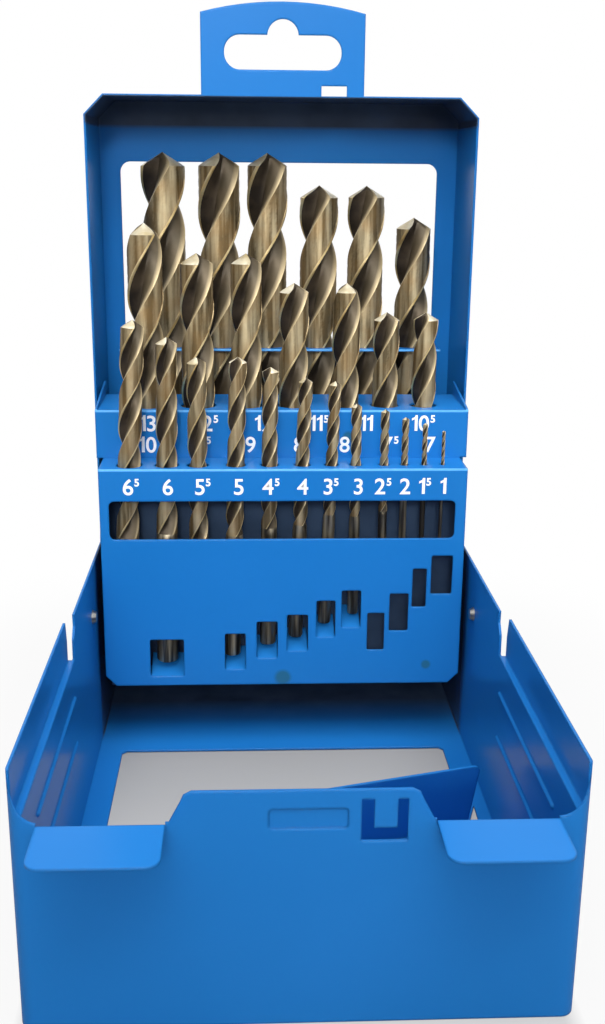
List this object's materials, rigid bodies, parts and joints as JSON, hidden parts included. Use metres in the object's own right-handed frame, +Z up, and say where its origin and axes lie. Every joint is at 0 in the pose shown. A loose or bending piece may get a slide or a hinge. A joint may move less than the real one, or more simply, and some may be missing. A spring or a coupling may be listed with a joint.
{
  "type": "drill bit case",
  "caption": "Folding sheet-steel case standing open, with a hanger on its lid and stepped trays that hold twist drills upright in rows.",
  "frame": {"origin": "on the table, under the middle of the open case's bounding box", "axes": "+X right across the case, +Y away from the base's front wall towards the lid, +Z up"},
  "size_m": [0.1102, 0.1906, 0.2035],
  "materials": {
    "enamel": "gloss",
    "rivet_steel": "satin",
    "drill_steel": "satin"
  },
  "bodies": {
    "base": {"base_pan": "enamel", "hinge_rivets": "rivet_steel", "closing_studs": "rivet_steel"},
    "lid": {"lid_pan": "enamel", "lid_rivets": "rivet_steel", "front_tray": "enamel", "middle_tray": "enamel", "rear_tray": "enamel", "tray_rivets": "rivet_steel"},
    "drill_13_0_body": {"drill_13_0": "drill_steel"},
    "drill_12_5_body": {"drill_12_5": "drill_steel"},
    "drill_12_0_body": {"drill_12_0": "drill_steel"},
    "drill_11_5_body": {"drill_11_5": "drill_steel"},
    "drill_11_0_body": {"drill_11_0": "drill_steel"},
    "drill_10_5_body": {"drill_10_5": "drill_steel"},
    "drill_10_0_body": {"drill_10_0": "drill_steel"},
    "drill_09_5_body": {"drill_09_5": "drill_steel"},
    "drill_09_0_body": {"drill_09_0": "drill_steel"},
    "drill_08_5_body": {"drill_08_5": "drill_steel"},
    "drill_08_0_body": {"drill_08_0": "drill_steel"},
    "drill_07_5_body": {"drill_07_5": "drill_steel"},
    "drill_07_0_body": {"drill_07_0": "drill_steel"},
    "drill_06_5_body": {"drill_06_5": "drill_steel"},
    "drill_06_0_body": {"drill_06_0": "drill_steel"},
    "drill_05_5_body": {"drill_05_5": "drill_steel"},
    "drill_05_0_body": {"drill_05_0": "drill_steel"},
    "drill_04_5_body": {"drill_04_5": "drill_steel"},
    "drill_04_0_body": {"drill_04_0": "drill_steel"},
    "drill_03_5_body": {"drill_03_5": "drill_steel"},
    "drill_03_0_body": {"drill_03_0": "drill_steel"},
    "drill_02_5_body": {"drill_02_5": "drill_steel"},
    "drill_02_0_body": {"drill_02_0": "drill_steel"},
    "drill_01_5_body": {"drill_01_5": "drill_steel"},
    "drill_01_0_body": {"drill_01_0": "drill_steel"}
  },
  "joints": [
    {"name": "lid_hinge", "type": "hinge", "parent": "base", "child": "lid", "pos_m": [0, 0.05878, 0.03932], "axis": [-1, 0, 0], "range_deg": [-90, 0]},
    {"name": "lift_13_0", "type": "slide", "parent": "lid", "child": "drill_13_0_body", "axis": [0, 0, 1], "range_m": [0, 0.013]},
    {"name": "lift_12_5", "type": "slide", "parent": "lid", "child": "drill_12_5_body", "axis": [0, 0, 1], "range_m": [0, 0.013]},
    {"name": "lift_12_0", "type": "slide", "parent": "lid", "child": "drill_12_0_body", "axis": [0, 0, 1], "range_m": [0, 0.013]},
    {"name": "lift_11_5", "type": "slide", "parent": "lid", "child": "drill_11_5_body", "axis": [0, 0, 1], "range_m": [0, 0.013]},
    {"name": "lift_11_0", "type": "slide", "parent": "lid", "child": "drill_11_0_body", "axis": [0, 0, 1], "range_m": [0, 0.013]},
    {"name": "lift_10_5", "type": "slide", "parent": "lid", "child": "drill_10_5_body", "axis": [0, 0, 1], "range_m": [0, 0.013]},
    {"name": "lift_10_0", "type": "slide", "parent": "lid", "child": "drill_10_0_body", "axis": [0, 0, 1], "range_m": [0, 0.086]},
    {"name": "lift_09_5", "type": "slide", "parent": "lid", "child": "drill_09_5_body", "axis": [0, 0, 1], "range_m": [0, 0.086]},
    {"name": "lift_09_0", "type": "slide", "parent": "lid", "child": "drill_09_0_body", "axis": [0, 0, 1], "range_m": [0, 0.086]},
    {"name": "lift_08_5", "type": "slide", "parent": "lid", "child": "drill_08_5_body", "axis": [0, 0, 1], "range_m": [0, 0.086]},
    {"name": "lift_08_0", "type": "slide", "parent": "lid", "child": "drill_08_0_body", "axis": [0, 0, 1], "range_m": [0, 0.086]},
    {"name": "lift_07_5", "type": "slide", "parent": "lid", "child": "drill_07_5_body", "axis": [0, 0, 1], "range_m": [0, 0.086]},
    {"name": "lift_07_0", "type": "slide", "parent": "lid", "child": "drill_07_0_body", "axis": [0, 0, 1], "range_m": [0, 0.086]},
    {"name": "lift_06_5", "type": "slide", "parent": "lid", "child": "drill_06_5_body", "axis": [0.0523, 0, 0.9986], "range_m": [0, 0.0643]},
    {"name": "lift_06_0", "type": "slide", "parent": "lid", "child": "drill_06_0_body", "axis": [0.0175, 0, 0.9998], "range_m": [0, 0.0608]},
    {"name": "lift_05_5", "type": "slide", "parent": "lid", "child": "drill_05_5_body", "axis": [0, 0, 1], "range_m": [0, 0.0661]},
    {"name": "lift_05_0", "type": "slide", "parent": "lid", "child": "drill_05_0_body", "axis": [0.0262, 0, 0.9997], "range_m": [0, 0.0591]},
    {"name": "lift_04_5", "type": "slide", "parent": "lid", "child": "drill_04_5_body", "axis": [0.0087, 0, 1], "range_m": [0, 0.0558]},
    {"name": "lift_04_0", "type": "slide", "parent": "lid", "child": "drill_04_0_body", "axis": [0.0314, 0, 0.9995], "range_m": [0, 0.0538]},
    {"name": "lift_03_5", "type": "slide", "parent": "lid", "child": "drill_03_5_body", "axis": [0.0314, 0, 0.9995], "range_m": [0, 0.0497]},
    {"name": "lift_03_0", "type": "slide", "parent": "lid", "child": "drill_03_0_body", "axis": [0, 0, 1], "range_m": [0, 0.0469]},
    {"name": "lift_02_5", "type": "slide", "parent": "lid", "child": "drill_02_5_body", "axis": [0, 0, 1], "range_m": [0, 0.0444]},
    {"name": "lift_02_0", "type": "slide", "parent": "lid", "child": "drill_02_0_body", "axis": [0, 0, 1], "range_m": [0, 0.0386]},
    {"name": "lift_01_5", "type": "slide", "parent": "lid", "child": "drill_01_5_body", "axis": [0, 0, 1], "range_m": [0, 0.0312]},
    {"name": "lift_01_0", "type": "slide", "parent": "lid", "child": "drill_01_0_body", "axis": [0, 0, 1], "range_m": [0, 0.0274]}
  ]
}
